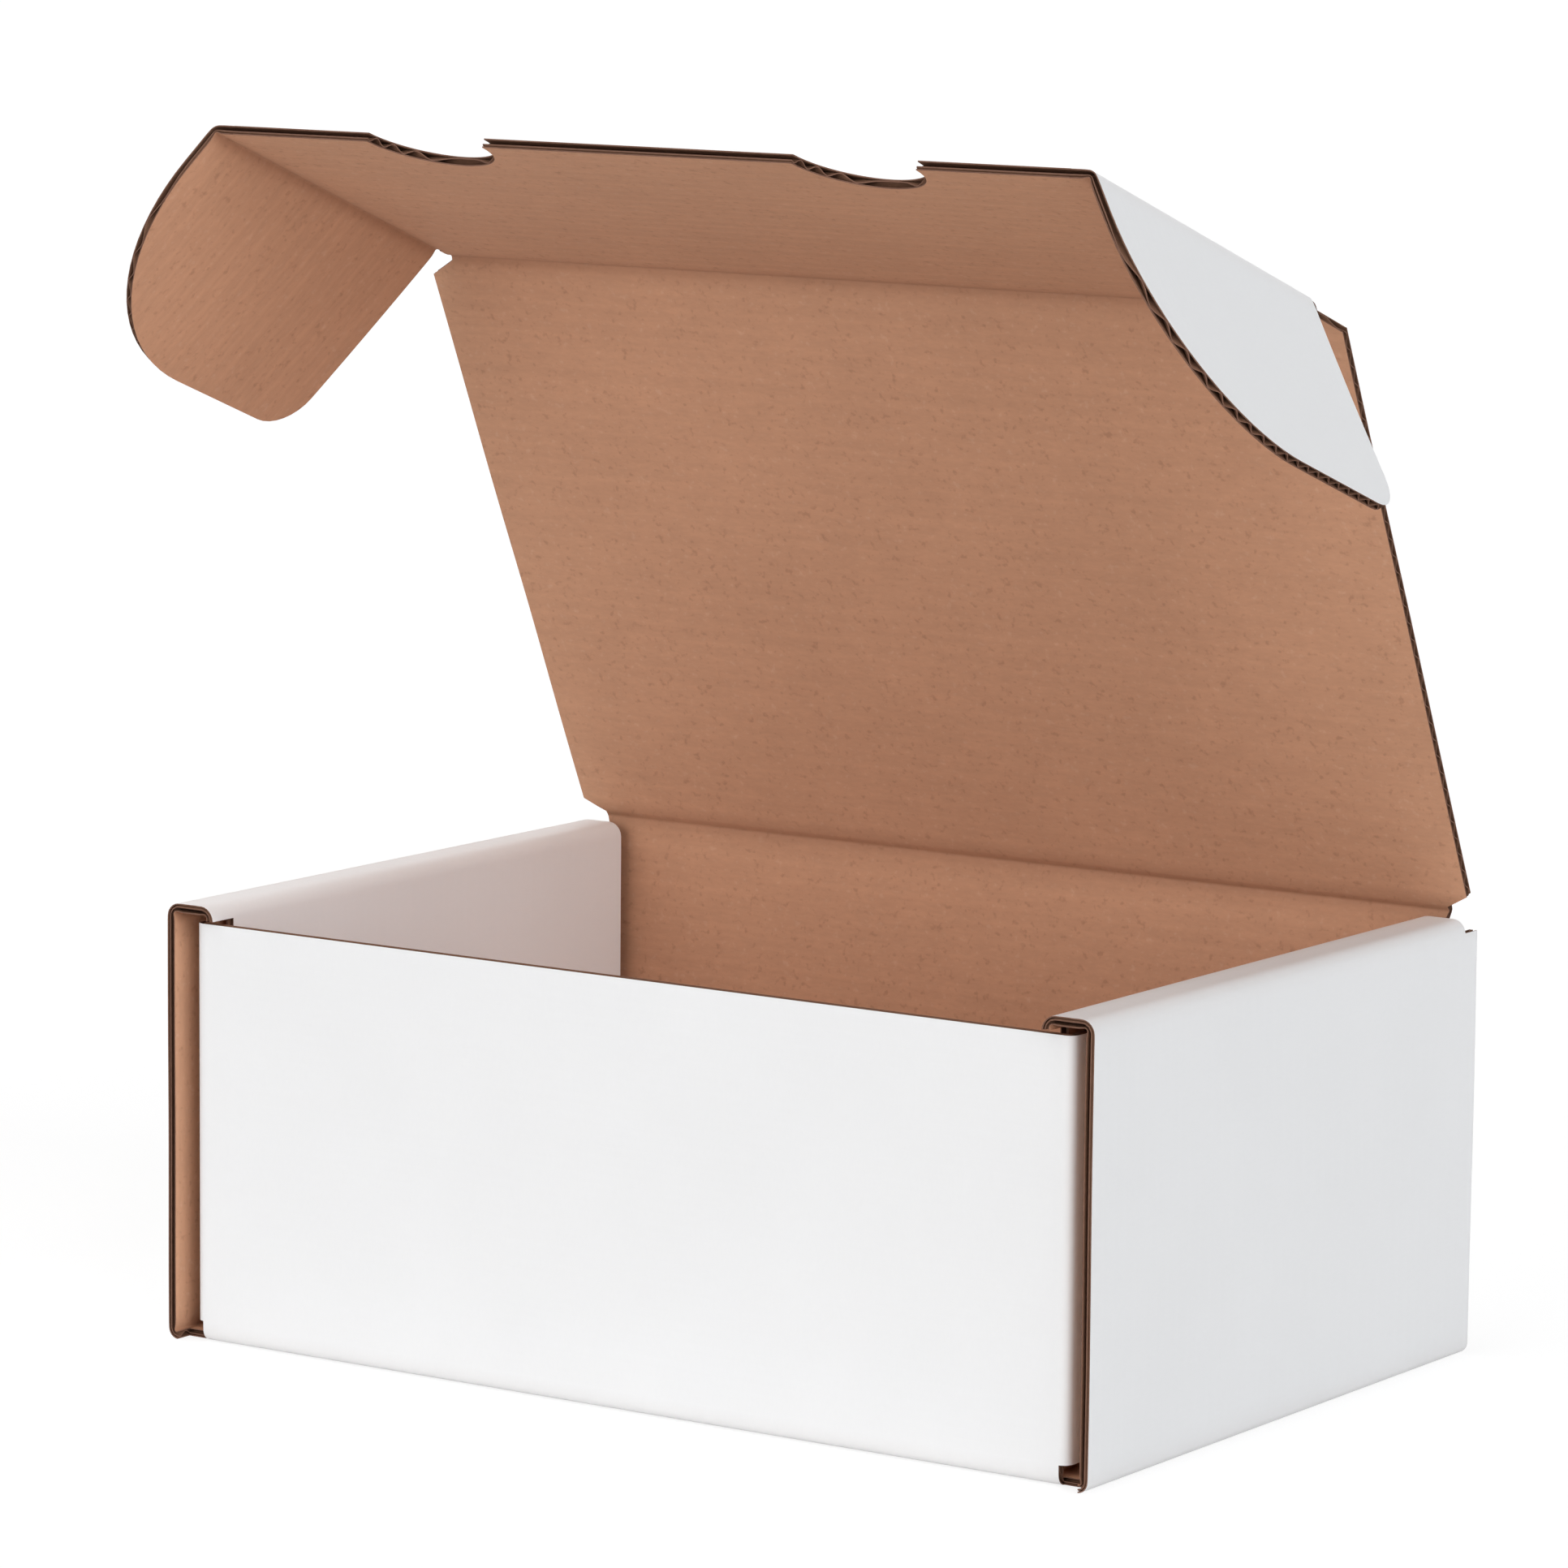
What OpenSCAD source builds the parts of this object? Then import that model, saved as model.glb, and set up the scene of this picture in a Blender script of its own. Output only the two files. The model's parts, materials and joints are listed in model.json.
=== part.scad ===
// Card storage box, folded from one blank of corrugated board, shown with its lid open.
// Millimetres, +Z up. The origin is the centre of the tray's underside, on the surface it
// stands on. -Y is the front, where the tuck flap goes in, and +Y is the lid's hinge side.

/* [Board] */
// Thickness of the corrugated board
board_t = 1.6; // [1.2:0.1:3]
// Play between two pieces of board that lie against each other
layer_gap = 0.3; // [0.3:0.1:1]
// Running clearance at the folds of the lid, the tuck flap and the ears
fold_gap = 0.3; // [0.2:0.05:0.6]

/* [Tray] */
// Width of the tray outside, across the front
box_w = 188.5; // [150:0.5:260]
// Depth of the tray outside, from front to back
box_d = 125; // [105:1:180]
// Height of the tray outside, to the top of the rolled sides
box_h = 77; // [60:1:110]
// How far the front wall stays below the underside of the rolled sides
front_wall_gap = 1.7; // [0.2:0.1:3]
// How far the front wall stands back from the sides' front ends
front_recess = 1.5; // [0:0.1:4]
// Space in the rolled sides between the outer panel and the dust flaps
outer_roll_gap = 3.2; // [0.3:0.1:5]
// Space in the rolled sides between the dust flaps and the inner panel
inner_roll_gap = 2; // [0.3:0.1:4]
// Distance of the inner side panels' ends from the front and back walls
inner_end_gap = 2.6; // [1:0.1:6]
// Length of the dust flaps inside the rolled sides
dust_flap_len = 42; // [20:1:48]
// Height by which the dust flaps clear the bottom
dust_flap_lift = 2; // [0.3:0.1:4]

/* [Locking tabs] */
// Length of each locking tab under an inner side panel
tab_len = 26; // [10:1:30]
// Distance between the middles of the two tabs of a side
tab_spacing = 56; // [36:1:64]
// Play of a tab in its slot, on each side
tab_play = 0.4; // [0.3:0.1:1]

/* [Lid] */
// Angle of the lid from closed, as the box stands open
lid_open = 65; // [45:0.5:110]
// Play of the tuck flap behind the front wall once the lid is closed
tuck_gap = 1.7; // [0.3:0.1:6]
// How far each side of the lid stays inside the tray's side
lid_side_inset = 0.6; // [0.3:0.1:3]
// How far each end of the lid's hinge fold stays inside the tray's side, clear of the roll
hinge_side_inset = 4.9; // [4.8:0.1:12]
// Height of the slanted cuts at the lid's two hinge corners
hinge_corner_cut = 2.5; // [2:0.5:10]
// Height of the slanted cuts at the lid's two front corners
front_corner_cut = 3; // [1:0.5:6]

/* [Tuck flap] */
// Bend of the tuck flap from the lid's plane, as the box stands open
flap_bend = 45; // [10:1:80]
// Length of the tuck flap from its fold to its free edge
flap_len = 73; // [45:0.5:73.5]
// Distance of each ear's fold from the tray's side, at the lid
ear_fold_inset = 4.5; // [4:0.1:12]
// How much nearer to the middle each ear's fold is at the free edge
flap_taper = 2; // [0:0.5:6]
// Radius of the two round thumb notches in the free edge
notch_r = 12; // [6:0.5:16]
// Distance between the middles of the thumb notches
notch_spacing = 86; // [50:1:110]

/* [Ears] */
// Fold of each ear from the tuck flap's plane, as the box stands open
ear_fold = 56; // [10:1:85]
// Length of each ear, out from its fold
ear_len = 43.5; // [42:0.5:56]
// Distance of each ear's root from the tuck flap's fold
ear_root_gap = 4; // [2:0.5:10]
// Radius of the ear's corner beside the lid
ear_small_r = 8; // [3:0.5:14]
// Radius of the ear's long curve towards the free edge
ear_large_r = 36; // [20:0.5:40]

/* [Hidden] */

$fn = 64;
white = [0.94, 0.94, 0.94];
kraft = [0.69, 0.52, 0.41];
// Overlap by which two stretches of the same board run into each other
join = 0.05;

half_w = box_w / 2;
half_d = box_d / 2;
// The side's three layers, outside in: outer panel, dust flap, inner panel
outer_in_x = half_w - board_t;
dust_out_x = outer_in_x - outer_roll_gap;
dust_in_x = dust_out_x - board_t;
inner_out_x = dust_in_x - inner_roll_gap;
inner_in_x = inner_out_x - board_t;
wall_in_y = half_d - board_t;
inner_end_y = wall_in_y - inner_end_gap;
inner_len = 2 * inner_end_y - front_recess;
roll_under_z = box_h - board_t;
front_wall_h = roll_under_z - front_wall_gap;

// Every moving fold turns about a line in the middle of the board
root_r = board_t / 2;
root_gap = root_r + fold_gap;
hinge_y = half_d - root_r;
hinge_z = box_h + root_r;
hinge_half_w = half_w - hinge_side_inset;
lid_half_w = half_w - lid_side_inset;
// The closed lid puts the tuck flap just behind the front wall
lid_len = box_d - front_recess - 2 * board_t - tuck_gap;
ear_axis_x = half_w - ear_fold_inset;
flap_slant = atan(flap_taper / flap_len);
flap_side_len = flap_len / cos(flap_slant);

// A quarter disc with its straight sides along +X and +Y
module quarter(r) {
    intersection() {
        circle(r);
        square(r);
    }
}

// Runs a section drawn in X and Z from y0 to y1
module along_y(y0, y1) {
    translate([0, y1, 0])
        rotate([90, 0, 0])
            linear_extrude(y1 - y0)
                children();
}

// Runs a section drawn in Y and Z from x0 to x1
module along_x(x0, x1) {
    translate([x0, 0, 0])
        rotate([90, 0, 90])
            linear_extrude(x1 - x0)
                children();
}

// Section of the outer side panel, with its folds to the bottom and to the top strip
module outer_panel_section() {
    translate([outer_in_x, board_t - join])
        square([board_t, roll_under_z - board_t + 2 * join]);
    translate([outer_in_x, board_t])
        mirror([0, 1])
            quarter(board_t);
    translate([outer_in_x, roll_under_z])
        quarter(board_t);
}

// Section of the top strip, with its fold down to the inner side panel
module top_strip_section() {
    translate([inner_out_x, roll_under_z])
        square([outer_in_x - inner_out_x + join, board_t]);
    translate([inner_out_x, roll_under_z])
        mirror([1, 0])
            quarter(board_t);
}

// The side that is rolled over: outer panel, top strip, inner panel with its tabs
module rolled_side() {
    along_y(-half_d, half_d)
        outer_panel_section();
    // The strip ends with the inner panel, short of the back wall
    along_y(-half_d, inner_end_y)
        top_strip_section();
    translate([inner_in_x, inner_end_y - inner_len, board_t - join])
        cube([board_t, inner_len, roll_under_z - board_t + 2 * join]);
    for (side = [-1, 1])
        translate([inner_in_x, side * tab_spacing / 2 - tab_len / 2, layer_gap])
            cube([board_t, tab_len, board_t]);
}

// Plan of one corner of the front or back wall, with the dust flap that follows it
module end_wall_corner_plan() {
    translate([dust_in_x, 0])
        mirror([0, 1])
            quarter(board_t);
    translate([dust_in_x, -join])
        square([board_t, dust_flap_len + join]);
}

// The front or back wall, here at the front, as high as wall_h
module end_wall(wall_h) {
    along_x(-dust_in_x, dust_in_x)
        translate([-wall_in_y, board_t])
            rotate(180)
                quarter(board_t);
    translate([-dust_in_x - join, -half_d, board_t - join])
        cube([2 * (dust_in_x + join), board_t, wall_h - board_t + join]);
    for (side = [0, 1])
        mirror([side, 0, 0])
            translate([0, -wall_in_y, board_t + dust_flap_lift])
                linear_extrude(front_wall_h - board_t - dust_flap_lift)
                    end_wall_corner_plan();
}

// The bottom panel, with the slots that hold the inner panels' tabs
module bottom_panel() {
    difference() {
        union() {
            translate([-outer_in_x - join, front_recess - wall_in_y, 0])
                cube([2 * (outer_in_x + join), 2 * wall_in_y - front_recess, board_t]);
            translate([-dust_in_x, front_recess - wall_in_y - join, 0])
                cube([2 * dust_in_x, 2 * (wall_in_y + join) - front_recess, board_t]);
        }
        for (x_side = [-1, 1])
            for (y_side = [-1, 1])
                translate([x_side * (inner_in_x + inner_out_x) / 2, y_side * tab_spacing / 2, board_t / 2])
                    cube([board_t + 2 * tab_play, tab_len + 2 * tab_play, 2 * board_t], center = true);
    }
}

// The whole open tray, one folded piece
module tray() {
    color(white) {
        bottom_panel();
        for (side = [0, 1])
            mirror([side, 0, 0])
                rolled_side();
        translate([0, front_recess, 0])
            end_wall(front_wall_h);
        mirror([0, 1, 0])
            end_wall(hinge_z - root_gap);
    }
}

// A flat board from a plan in X and Y, with its middle on Z = 0
module board() {
    translate([0, 0, -board_t / 2])
        linear_extrude(board_t)
            children();
}

// The rounded root of a fold along X
module root_x(half_len) {
    translate([-half_len, 0, 0])
        rotate([0, 90, 0])
            cylinder(h = 2 * half_len, r = root_r);
}

// Plan of the lid, its hinge on the X axis and its front edge towards +Y
module lid_plan() {
    lid_end = lid_len - root_gap;
    crease_half_w = ear_axis_x - root_gap;
    polygon([
        [-hinge_half_w, 0],
        [hinge_half_w, 0],
        [hinge_half_w, root_gap],
        [lid_half_w, root_gap + hinge_corner_cut],
        [lid_half_w, lid_end - front_corner_cut],
        [crease_half_w, lid_end],
        [-crease_half_w, lid_end],
        [-lid_half_w, lid_end - front_corner_cut],
        [-lid_half_w, root_gap + hinge_corner_cut],
        [-hinge_half_w, root_gap]
    ]);
}

// Puts a piece that is drawn on the lid's plane where the open lid holds it
module on_lid() {
    translate([0, hinge_y, hinge_z])
        rotate([180 - lid_open, 0, 0])
            children();
}

// Puts a piece that is drawn on the tuck flap's plane where the open flap holds it
module on_flap() {
    on_lid()
        translate([0, lid_len, 0])
            rotate([flap_bend, 0, 0])
                children();
}

// The lid panel
module lid() {
    color(kraft)
        on_lid() {
            root_x(hinge_half_w);
            board()
                lid_plan();
        }
}

// Plan of the tuck flap, its fold on the X axis and its free edge towards +Y
module flap_plan() {
    side_x = ear_axis_x - root_gap;
    difference() {
        polygon([
            [-side_x, 0],
            [side_x, 0],
            [side_x - flap_taper, flap_len],
            [flap_taper - side_x, flap_len]
        ]);
        for (side = [-1, 1])
            translate([side * notch_spacing / 2, flap_len])
                circle(notch_r);
    }
}

// The tuck flap with its two thumb notches
module tuck_flap() {
    color(kraft)
        on_flap() {
            root_x(ear_axis_x - root_gap);
            board()
                flap_plan();
        }
}

// Plan of an ear, its fold on the Y axis, one rounded corner and one long curve
module ear_plan() {
    straight_end = flap_side_len - ear_large_r;
    translate([0, ear_root_gap])
        square([ear_len - ear_small_r, straight_end - ear_root_gap]);
    translate([0, ear_root_gap + ear_small_r])
        square([ear_len, straight_end - ear_root_gap - ear_small_r]);
    translate([0, straight_end - join])
        square([ear_len - ear_large_r + join, ear_large_r + join]);
    translate([ear_len - ear_small_r, ear_root_gap + ear_small_r])
        circle(ear_small_r);
    translate([ear_len - ear_large_r, straight_end])
        quarter(ear_large_r);
}

// The ear on the +X side, folded in from the tuck flap
module ear() {
    on_flap()
        translate([ear_axis_x, 0, 0])
            rotate([0, 0, flap_slant])
                rotate([0, -ear_fold, 0]) {
                    translate([0, ear_root_gap, 0])
                        rotate([-90, 0, 0])
                            cylinder(h = flap_side_len - ear_root_gap, r = root_r);
                    board()
                        ear_plan();
                }
}

module right_ear() {
    color(white)
        ear();
}

module left_ear() {
    color(kraft)
        mirror([1, 0, 0])
            ear();
}

tray();
lid();
tuck_flap();
left_ear();
right_ear();
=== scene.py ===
import bisect
import json
import math

import bmesh
import bpy
from mathutils import Matrix, Vector, noise


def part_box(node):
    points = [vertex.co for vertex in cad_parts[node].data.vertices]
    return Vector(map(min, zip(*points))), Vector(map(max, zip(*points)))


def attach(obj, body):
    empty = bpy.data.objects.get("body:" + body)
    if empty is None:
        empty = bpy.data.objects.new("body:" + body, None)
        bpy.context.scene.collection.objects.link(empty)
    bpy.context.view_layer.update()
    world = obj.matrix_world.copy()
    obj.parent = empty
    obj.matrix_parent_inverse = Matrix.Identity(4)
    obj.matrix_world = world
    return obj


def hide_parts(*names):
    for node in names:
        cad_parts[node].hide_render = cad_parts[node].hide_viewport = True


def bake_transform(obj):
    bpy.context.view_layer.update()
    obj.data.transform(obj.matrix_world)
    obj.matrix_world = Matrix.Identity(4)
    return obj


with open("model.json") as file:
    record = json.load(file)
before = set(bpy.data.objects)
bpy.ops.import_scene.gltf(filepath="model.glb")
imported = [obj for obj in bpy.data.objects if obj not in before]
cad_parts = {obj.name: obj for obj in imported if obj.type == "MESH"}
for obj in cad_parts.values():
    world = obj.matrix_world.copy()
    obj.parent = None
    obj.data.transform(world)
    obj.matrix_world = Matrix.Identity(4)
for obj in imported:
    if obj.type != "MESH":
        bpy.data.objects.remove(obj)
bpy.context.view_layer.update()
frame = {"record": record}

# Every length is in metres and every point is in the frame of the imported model:
# +Z up, -Y towards the front wall, the origin under the middle of the tray.
# Points of the unfolded blank are (u, v, n): u across the box, v along it from the middle
# of the bottom towards the lid, and n out of the board, with the white face at +HALF.
# On an ear, u is measured from the middle of the ear's fold.
MM = 0.001

# Sizes of the folded board, the same as in the CAD source
BOARD = 1.6 * MM
HALF = BOARD / 2
LAYER_GAP = 0.3 * MM
OUTER_ROLL_GAP = 3.2 * MM
INNER_ROLL_GAP = 2 * MM
FRONT_RECESS = 1.5 * MM
WALL_GAP = 1.7 * MM
INNER_END_GAP = 2.6 * MM
DUST_LEN = 42 * MM
DUST_LIFT = 2 * MM
TAB_LEN = 26 * MM
TAB_SPACING = 56 * MM
SLOT_PLAY = 0.4 * MM
HINGE_CORNER_CUT = 2.5 * MM
FRONT_CORNER_CUT = 3 * MM
LID_SIDE_INSET = 0.6 * MM
HINGE_SIDE_INSET = 4.9 * MM
ROOT_GAP = 1.1 * MM
FLAP_LEN = 73 * MM
FLAP_TAPER = 2 * MM
FLAP_BEND = math.radians(45)
NOTCH_R = 12 * MM
NOTCH_SPACING = 86 * MM
EAR_LEN = 43.5 * MM
EAR_ROOT_GAP = 4 * MM
EAR_SMALL_R = 8 * MM
EAR_LARGE_R = 36 * MM
EAR_FOLD = math.radians(56)

# The dust flaps' cut corners, and how far they lean inwards at their ends
DUST_CORNER = 6 * MM
DUST_LEAN = 0.9 * MM

# The board's layers. Its flutes run across the blank, one wave every FLUTE_PITCH along it.
LINER = 0.22 * MM
FLUTE_PITCH = 3.3 * MM
FLUTE_SHEET = 0.2 * MM

# Radii of the board's middle line in its round folds
FOLD_R = 1.1 * MM
CORNER_R = 0.85 * MM
OUTER_TOP_R = 1.5 * MM
INNER_TOP_R = 1.7 * MM
HINGE_R = 2 * MM
CREASE_R = 1.6 * MM
EAR_R = 1.4 * MM

# How far along the board a score presses it, and by what share on each side
CRUSH_REACH = 1.1 * MM
KRAFT_CRUSH = 0.42
WHITE_CRUSH = 0.10
# How far from a fold's middle the shade painted along its crease reaches
CREASE_REACH = 2.2 * MM

# The panels' slight bows: an even arch, and a sway that wanders over the grain's length
WALL_ARCH = 0.4 * MM
WALL_SWAY = 0.3 * MM
SIDE_ARCH = 0.3 * MM
SIDE_SWAY = 0.25 * MM
LID_ARCH = 0.5 * MM
LID_SWAY = 0.5 * MM
WALL_GRAIN = 50 * MM
LID_GRAIN = 45 * MM
EAR_CURL = 0.9 * MM
NOISE_LAYER = 7.3

# How far from a moving fold's axis its own piece of board reaches
FOLD_REACH = 4 * MM
# How much further the hinge's piece reaches down the back wall
HINGE_SEAM = 0.3 * MM
# How much of the flap the ear's middle line takes in before the ear's fold
FLAP_RUN = 20 * MM

# How finely the board is cut: rows for each flute, steps in a bend and lines beside it
HIDDEN_ROWS = 6
SHOWN_ROWS = 8
LINER_STEP = 7 * MM
BEND_STEPS = 6
EAR_BEND_STEPS = 8
CUTS_APART = 0.8 * MM
CUTS_AROUND = 2.4 * MM
EAR_CUTS_AROUND = 3 * MM
NOTCH_STEPS = 24
EAR_SMALL_STEPS = 8
EAR_LARGE_STEPS = 20
SHARP_ANGLE = math.radians(35)

# How far outside a panel's edge a point still belongs to it, and the same at a dust flap's ends
TOUCH = 0.01 * MM
DUST_MARGIN = 0.1 * MM
# How far the inner side panels end above the bottom
INNER_LIFT = 0.05 * MM
# Cut lines nearer to each other than LINES_APART are left out, and points nearer than WELD joined
LINES_APART = 0.05 * MM
WELD = 0.002 * MM
# A cut line this near a polygon's end doesn't cut it
SLIVER = 1e-9
# The fineness of the grid on which equal points of a plan are found
KEYS_PER_M = 1e7

HALF_W, HALF_D, BOX_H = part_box("tray")[1]
DUST_MID = HALF_W - BOARD - OUTER_ROLL_GAP - HALF
INNER_MID = DUST_MID - BOARD - INNER_ROLL_GAP
SIDE_MID = HALF_W - HALF
FRONT_MID = HALF_D - FRONT_RECESS - HALF
BACK_MID = HALF_D - HALF
FRONT_WALL_H = BOX_H - BOARD - WALL_GAP
DUST_Z0 = BOARD + DUST_LIFT

joint_at = {j["name"]: Vector(j["pos_m"]) for j in frame["record"]["behaviour"]["joints"]}
HINGE = joint_at["lid_hinge"]
CREASE = joint_at["tuck_fold"]
EAR_AXIS_X = joint_at["right_ear_fold"].x
LID_VECTOR = Vector((0, CREASE.y - HINGE.y, CREASE.z - HINGE.z))
LID_LEN = LID_VECTOR.length
LID_RISE = math.atan2(LID_VECTOR.z, -LID_VECTOR.y)
LID_HALF_W = HALF_W - LID_SIDE_INSET
HINGE_HALF_W = HALF_W - HINGE_SIDE_INSET
CREASE_HALF_W = EAR_AXIS_X - ROOT_GAP
FLAP_RISE = LID_RISE - FLAP_BEND
FLAP_DOWN = Vector((0, -math.cos(FLAP_RISE), math.sin(FLAP_RISE)))
FLAP_OUT = Vector((0, math.sin(FLAP_RISE), math.cos(FLAP_RISE)))
FLAP_SLANT = math.atan(FLAP_TAPER / FLAP_LEN)
FLAP_SIDE_LEN = FLAP_LEN / math.cos(FLAP_SLANT)


class Path:
    """The middle line of a folded board in its own plane, through corners with round folds.
    Its outer side is on the right as it runs. Each part is (start, point, heading, turn, radius),
    and straight ones have no turn. folds has the distances where each round fold starts and ends."""

    def __init__(self, corners, radii):
        corners = [Vector(c) for c in corners]
        self.parts = []
        self.folds = []
        at = 0.0
        point = corners[0]
        for i in range(1, len(corners)):
            heading = (corners[i] - point).normalized()
            if i == len(corners) - 1:
                self.parts.append((at, point, heading, 0.0, 0.0))
                at += (corners[i] - point).length
                break
            onward = (corners[i + 1] - corners[i]).normalized()
            turn = -heading.angle_signed(onward)
            radius = radii[i - 1]
            cut = radius * math.tan(abs(turn) / 2)
            self.parts.append((at, point, heading, 0.0, 0.0))
            at += (corners[i] - point).length - cut
            point = corners[i] - heading * cut
            self.parts.append((at, point, heading, turn, radius))
            self.folds.append((at, at + radius * abs(turn)))
            at += radius * abs(turn)
            point = corners[i] + onward * cut
        self.length = at

    def at(self, s, n):
        """The point at distance s along the middle line, n towards the outer side."""
        start, point, heading, turn, radius = next(
            (p for p in reversed(self.parts) if s >= p[0]), self.parts[0])
        left = Vector((-heading.y, heading.x))
        if not turn:
            return point + heading * (s - start) - left * n
        side = math.copysign(1, turn)
        swing = side * (s - start) / radius
        spoke = -side * left
        spoke.rotate(Matrix.Rotation(swing, 2))
        return point + side * left * radius + spoke * (radius + side * n)

    def along(self, straight, axis, value):
        """The distance at which straight stretch number straight reaches that coordinate."""
        start, point, heading, _, _ = self.parts[2 * straight]
        return start + (value - point[axis]) / heading[axis]

    def cuts(self, fold, steps=BEND_STEPS, around=CUTS_AROUND):
        """Distances that cut a fold finely, with some on its straight neighbours."""
        start, end = self.folds[fold]
        inside = [start + (end - start) * i / steps for i in range(steps + 1)]
        beside = [k * CUTS_APART for k in range(1, int(around / CUTS_APART) + 1)]
        return [start - b for b in beside] + inside + [end + b for b in beside]


def crush_near(s, folds):
    """How crushed the board is at distance s along it: 1 on a fold's middle, 0 away from it."""
    return max(math.exp(-((s - (a + b) / 2) / CRUSH_REACH) ** 2) for a, b in folds)


def crushed(n, crush):
    """Height n in the board after the score has pressed it, mostly from the kraft side."""
    return n * (1 - (KRAFT_CRUSH if n < 0 else WHITE_CRUSH) * crush)


def wander(u, v, size, grain):
    """A slow unevenness of the board, the same on every run."""
    return size * noise.noise(Vector((u / grain, v / grain, NOISE_LAYER)))


# The folded board's middle lines

side_path = Path(
    [(0, HALF), (SIDE_MID, HALF), (SIDE_MID, BOX_H - HALF), (INNER_MID, BOX_H - HALF),
     (INNER_MID, BOARD)],
    [FOLD_R, OUTER_TOP_R, INNER_TOP_R])
front_path = Path([(0, HALF), (FRONT_MID, HALF), (FRONT_MID, FRONT_WALL_H)], [FOLD_R])
FLAP_TIP = (CREASE.y + FLAP_LEN * FLAP_DOWN.y, CREASE.z + FLAP_LEN * FLAP_DOWN.z)
back_path = Path(
    [(0, HALF), (BACK_MID, HALF), (HINGE.y, HINGE.z), (CREASE.y, CREASE.z), FLAP_TIP],
    [FOLD_R, HINGE_R, CREASE_R])
corner_path = Path(
    [(0, 0), (DUST_MID, 0), (DUST_MID - DUST_LEAN, DUST_LEN + HALF)], [CORNER_R])
ear_path = Path(
    [(-FLAP_RUN, 0), (0, 0), (EAR_LEN * math.cos(EAR_FOLD), EAR_LEN * math.sin(EAR_FOLD))],
    [EAR_R])

HINGE_S = sum(back_path.folds[1]) / 2
CREASE_S = sum(back_path.folds[2]) / 2
WALL_TOP_S = HINGE_S - FOLD_REACH - HINGE_SEAM
EAR_S = sum(ear_path.folds[0]) / 2


def wall_place(path, sign, u, v, n):
    """A point of the front wall (sign -1) or the back wall (sign 1), or of its dust flaps."""
    side = math.copysign(1, u)
    s = abs(v)
    corner_start = corner_path.folds[0][0]
    if abs(u) <= corner_start or s < path.along(1, 1, DUST_Z0) - DUST_MARGIN:
        y, z = path.at(s, crushed(n, crush_near(s, path.folds)) + wall_bow(u, v))
        return Vector((u, sign * y, z))
    wall_y, z = path.at(s, 0)
    x, depth = corner_path.at(abs(u), crushed(n, crush_near(abs(u), corner_path.folds)))
    return Vector((side * x, sign * (wall_y - depth), z))


def wall_bow(u, v):
    """How far the front or back wall swells outwards in its middle."""
    height = min(1, max(0, (abs(v) - HALF_D) / (WALL_TOP_S - HALF_D)))
    arch = math.sin(math.pi * height)
    across = max(0, math.cos(math.pi * u / (2 * DUST_MID)))
    # The front wall's top is free, and the back wall's is held by the lid
    sway = arch if v > 0 else height
    return across * (WALL_ARCH * arch + sway * wander(u, v, WALL_SWAY, WALL_GRAIN))


def side_bow(u, v):
    """How far an outer side panel swells outwards in its middle."""
    start, end = side_path.folds[0][1], side_path.folds[1][0]
    height = (abs(u) - start) / (end - start)
    if not 0 < height < 1:
        return 0.0
    along = math.cos(math.pi * v / (2 * HALF_D))
    swell = SIDE_ARCH * along + wander(u, v, SIDE_SWAY, WALL_GRAIN)
    return math.sin(math.pi * height) * swell


def tray_place(u, v, n):
    """Folds a point of the blank into the tray."""
    if abs(u) > side_path.folds[0][0] - TOUCH and abs(v) <= HALF_D + TOUCH:
        bent = crushed(n, crush_near(abs(u), side_path.folds))
        x, z = side_path.at(abs(u), bent + side_bow(u, v))
        return Vector((math.copysign(x, u), v, z))
    if v < -front_path.folds[0][0]:
        return wall_place(front_path, -1, u, v, n)
    if v > back_path.folds[0][0]:
        return wall_place(back_path, 1, u, v, n)
    return Vector((u, v, HALF - n))


def lid_bow(u, s):
    """The lid's slight curl, which is nought along its folds."""
    if s < HINGE_S or s > CREASE_S:
        return 0.0
    rise = math.sin(math.pi * (s - HINGE_S) / LID_LEN)
    across = math.cos(math.pi * u / (2 * LID_HALF_W))
    return rise * (LID_ARCH * across + wander(u, s, LID_SWAY, LID_GRAIN))


def back_place(u, s, n):
    """Folds a point of the strip that runs up the back wall, over the lid and down the flap."""
    bent = crushed(n, crush_near(s, back_path.folds))
    y, z = back_path.at(s, bent + lid_bow(u, s))
    return Vector((u, y, z))


def ear_place(side, b, v, n):
    """Folds a point beside the flap into an ear, b from the fold's middle and v along the blank."""
    along = v - CREASE_S
    slant = Vector((-side * math.sin(FLAP_SLANT), math.cos(FLAP_SLANT)))
    out = Vector((side * math.cos(FLAP_SLANT), math.sin(FLAP_SLANT)))
    curl = EAR_CURL * (max(0, b) / EAR_LEN) ** 2
    bent = crushed(n, crush_near(EAR_S + b, ear_path.folds))
    across, inward = ear_path.at(EAR_S + b, bent + curl)
    flat = slant * along + out * across
    start = Vector((side * EAR_AXIS_X, CREASE.y, CREASE.z))
    return start + Vector((flat.x, 0, 0)) + FLAP_DOWN * flat.y - FLAP_OUT * inward


# Plans of the panels in the blank, as convex polygons that run anticlockwise


def rectangle(u0, u1, v0, v1):
    return [(u0, v0), (u1, v0), (u1, v1), (u0, v1)]


def both_sides(polygons):
    """The polygons and their mirror images across u = 0."""
    return polygons + [[(-u, v) for u, v in reversed(p)] for p in polygons]


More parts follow.
